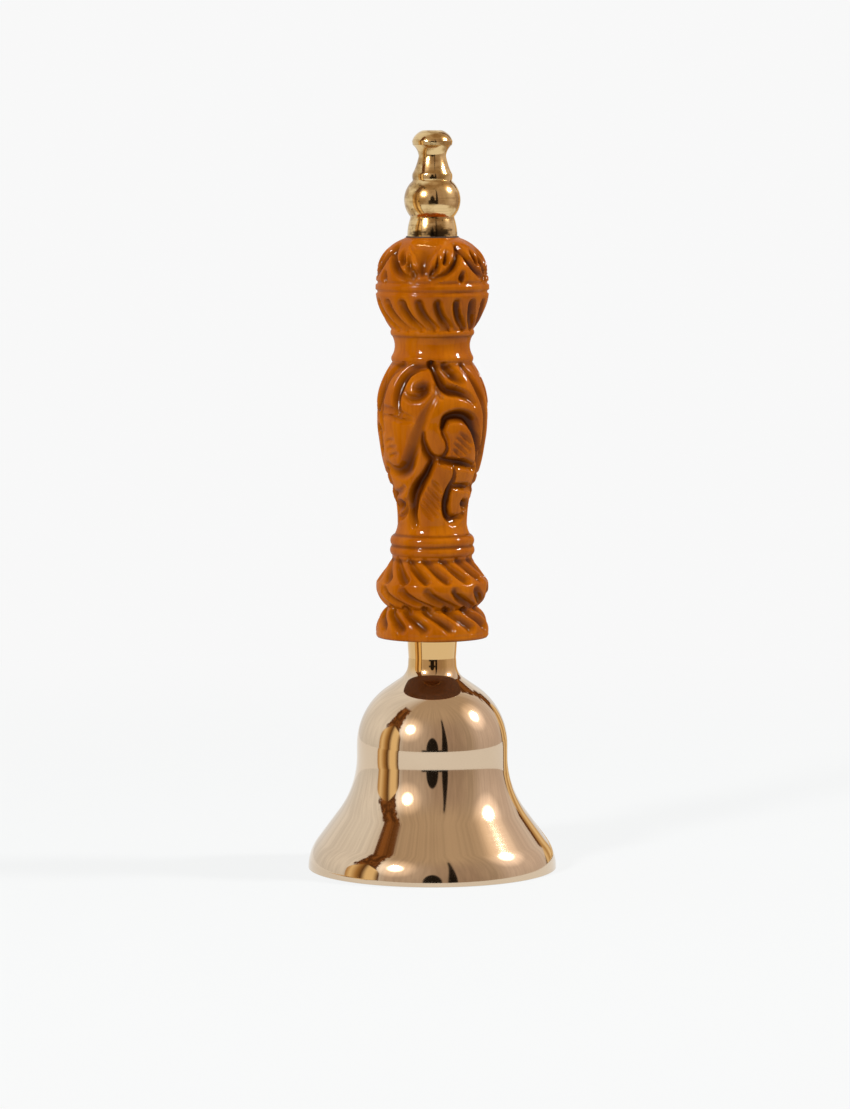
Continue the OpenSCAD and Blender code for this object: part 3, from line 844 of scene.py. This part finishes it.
def by_azimuth(tree, azimuth, colours):
    """A colour that runs through a list of (azimuth, colour)."""
    stops = [((degrees + 180) / 360, colour) for degrees, colour in colours]
    return ramp(tree, calc(tree, "MULTIPLY_ADD", azimuth, 1 / 360, 0.5), stops)


def card_mask(tree, azimuth, middle, half, inset):
    """1 between the sides of a card, which are inset by some degrees."""
    away = calc(tree, "ABSOLUTE", calc(tree, "SUBTRACT", azimuth, float(middle)))
    return blend_range(tree, calc(tree, "ADD", away, inset), half + CARD_SOFT, half - CARD_SOFT)


def streak(tree, azimuth, elevation):
    """A dark upright gap between two walls, narrower near its top."""
    away = calc(tree, "ABSOLUTE", calc(tree, "SUBTRACT", azimuth, GAP_AT))
    half = blend_range(tree, elevation, 0, 50, GAP_LOW, GAP_HIGH)
    inside = blend_range(tree, calc(tree, "SUBTRACT", away, half), 0.8, -0.8)
    return calc(tree, "MULTIPLY", inside, blend_range(tree, elevation, *GAP_FADE))


def operator(tree, azimuth, elevation):
    """A dark rounded shape straight in front, where a camera would be, on a wider base."""
    across = calc(tree, "DIVIDE", azimuth, OPERATOR_HALF)
    up = calc(tree, "DIVIDE", elevation, OPERATOR_TOP)
    squares = calc(tree, "ADD", calc(tree, "MULTIPLY", across, across), calc(tree, "MULTIPLY", up, up))
    base = band_mask(tree, azimuth, 0, OPERATOR_BASE, 2)
    base = calc(tree, "MULTIPLY", base, blend_range(tree, elevation, 0, -2))
    return calc(tree, "MAXIMUM", blend_range(tree, squares, 1.15, 0.85), base)


def halo(tree, direction, azimuth, elevation):
    """A soft glow round a lamp, as its light scatters in its diffuser."""
    centre = toward(azimuth, elevation)
    facing = add(tree, "VectorMath", {0: direction, 1: centre}, operation="DOT_PRODUCT").outputs["Value"]
    glows = []
    for first, full, level in GLOWS:
        start, end = math.cos(math.radians(first)), math.cos(math.radians(full))
        glows.append(blend_range(tree, facing, start, end, 0, level))
    return calc(tree, "ADD", *glows)


def band_mask(tree, value, middle, half, soft):
    """1 within half of the middle, falling to 0 over the soft edge."""
    away = calc(tree, "ABSOLUTE", calc(tree, "SUBTRACT", value, float(middle)))
    return blend_range(tree, away, half + soft, half - soft)


def build_floor():
    """A pale disc that mostly glows, so that shadows on it are faint, and fades into the white around it."""
    angle = np.arange(FLOOR_SIDES) * 2 * math.pi / FLOOR_SIDES
    height = np.full(FLOOR_SIDES, -FLOOR_DROP)
    ring = np.stack([np.cos(angle) * FLOOR_R, np.sin(angle) * FLOOR_R, height], 1)
    floor = make_object("floor", ring, [list(range(FLOOR_SIDES))])
    material = bpy.data.materials.new("floor_white")
    material.use_nodes = True
    tree = material.node_tree
    tree.nodes.clear()
    where = add(tree, "TexCoord", {}).outputs["Object"]
    away = add(tree, "VectorMath", {0: where}, operation="LENGTH").outputs["Value"]
    cloud = noise(tree, where, 40)
    paper = mix(tree, cloud, rgba(0.9, 0.9, 0.9), rgba(0.93, 0.93, 0.93))
    glow = add(tree, "Emission", {0: rgba(WHITE, WHITE, WHITE), 1: 1.0})
    dim_glow = add(tree, "Emission", {0: FLOOR_GLOW, 1: 1.0})
    matt = add(tree, "BsdfDiffuse", {0: mix(tree, FLOOR_BLACK, paper, rgba(0, 0, 0))})
    lit = add(tree, "AddShader", {0: dim_glow.outputs[0], 1: matt.outputs[0]})
    near = blend_range(tree, away, FLOOR_R * 0.95, FLOOR_R * 0.3)
    top = add(tree, "MixShader", {0: near, 1: glow.outputs[0], 2: lit.outputs[0]})
    share, gold = floor_cards(tree, where, away)
    top = add(tree, "MixShader", {0: share, 1: top.outputs[0], 2: gold.outputs[0]})
    clear = add(tree, "BsdfTransparent", {})
    under = add(tree, "NewGeometry", {}).outputs["Backfacing"]
    both = add(tree, "MixShader", {0: under, 1: top.outputs[0], 2: clear.outputs[0]})
    out = add(tree, "OutputMaterial", {})
    tree.links.new(both.outputs[0], out.inputs[0])
    floor.data.materials.append(material)


def floor_cards(tree, where, away):
    """The cards carried on across the floor, in what the brass mirrors only: their share and their glow."""
    x, y = add(tree, "SeparateXYZ", {0: where}).outputs[:2]
    azimuth = azimuth_of(tree, x, y)
    cards = [card_mask(tree, azimuth, middle, half, 0.0) for middle, half, _ in CARD_SPANS]
    share = calc(tree, "ADD", *cards)
    share = calc(tree, "MULTIPLY", share, blend_range(tree, away, CARD_FROM, CARD_FULL))
    direct = add(tree, "LightPath", {}).outputs["Is Camera Ray"]
    share = calc(tree, "MULTIPLY", share, calc(tree, "SUBTRACT", 1.0, direct))
    return share, add(tree, "Emission", {0: by_azimuth(tree, azimuth, CARDS), 1: 1.0})


def toward(azimuth, elevation):
    """The direction of an azimuth and elevation, as seen from the bell."""
    a, e = math.radians(azimuth), math.radians(elevation)
    return Vector((math.sin(a) * math.cos(e), -math.cos(a) * math.cos(e), math.sin(e)))


def build_light(name, azimuth, elevation, across, brightness, distance=1.3):
    """A round soft light, across degrees wide as seen from the bell."""
    back = toward(azimuth, elevation)
    light = bpy.data.lights.new(name, "AREA")
    light.shape = "DISK"
    light.size = 2 * distance * math.tan(math.radians(across / 2))
    light.energy = brightness * math.pi * math.pi * light.size**2 / 4
    lamp = bpy.data.objects.new(name, light)
    lamp.location = LAMPS_ROUND + back * distance
    lamp.rotation_mode = "QUATERNION"
    lamp.rotation_quaternion = back.to_track_quat("Z", "Y")
    lamp.visible_camera = False
    bpy.context.scene.collection.objects.link(lamp)


def build_camera():
    """At the photo's viewing angle: a little above the bell, looking slightly down."""
    camera = bpy.data.objects.new("camera", bpy.data.cameras.new("camera"))
    camera.location = CAMERA_AT
    camera.rotation_mode = "QUATERNION"
    camera.rotation_quaternion = (camera.location - CAMERA_TARGET).to_track_quat("Z", "Y")
    camera.data.lens = CAMERA_LENS
    camera.data.sensor_width = CAMERA_SENSOR
    bpy.context.scene.collection.objects.link(camera)
    bpy.context.scene.camera = camera


# ---------------------------------------------------------------- the whole

build_camera()
build_world()
for lamp in LAMPS:
    build_light(*lamp)
build_floor()
build_bell()
build_handle()
build_finial()
paint_cad_nodes()
bpy.context.scene.view_settings.view_transform = "Standard"
